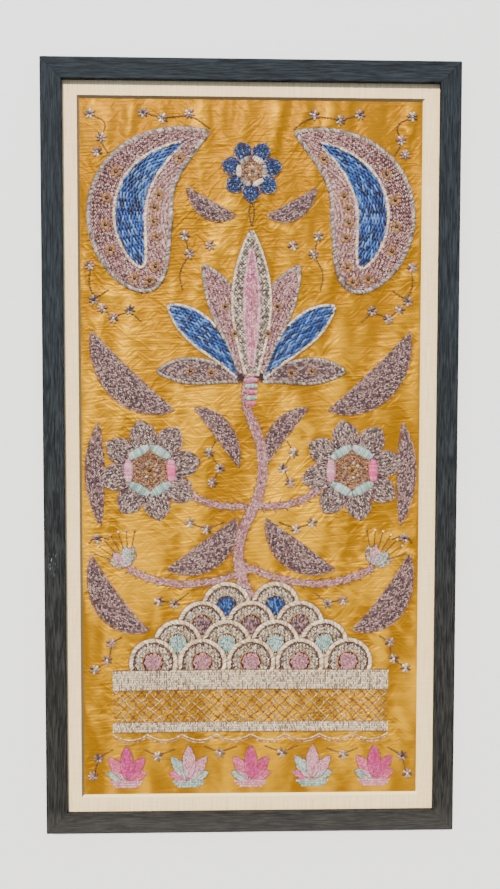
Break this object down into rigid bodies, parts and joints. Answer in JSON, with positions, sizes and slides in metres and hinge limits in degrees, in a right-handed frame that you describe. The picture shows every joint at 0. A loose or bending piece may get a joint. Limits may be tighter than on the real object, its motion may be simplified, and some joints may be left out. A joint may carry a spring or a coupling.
{
  "type": "embroidered silk panel in picture frame",
  "caption": "Embroidered silk panel held behind a bevelled linen window mat and glazing in a flat mitred wooden picture frame, lying face up on its back.",
  "frame": {"origin": "middle of the frame's back, where it lies on the surface", "axes": "+Z out of the picture's face, +Y towards the top of the picture, +X to the viewer's right"},
  "size_m": [0.6, 1.12, 0.02],
  "materials": {
    "stained_wood": "brushed open grain, charcoal stain",
    "clear_glass": "clear",
    "linen_board": "linen weave",
    "yellow_silk": "satin with thread embroidery",
    "grey_board": "plain board"
  },
  "bodies": {
    "root": {"rail_top": "stained_wood", "rail_bottom": "stained_wood", "rail_left": "stained_wood", "rail_right": "stained_wood", "glazing": "clear_glass", "window_mat": "linen_board", "silk_panel": "yellow_silk", "backing_board": "grey_board"}
  },
  "joints": []
}
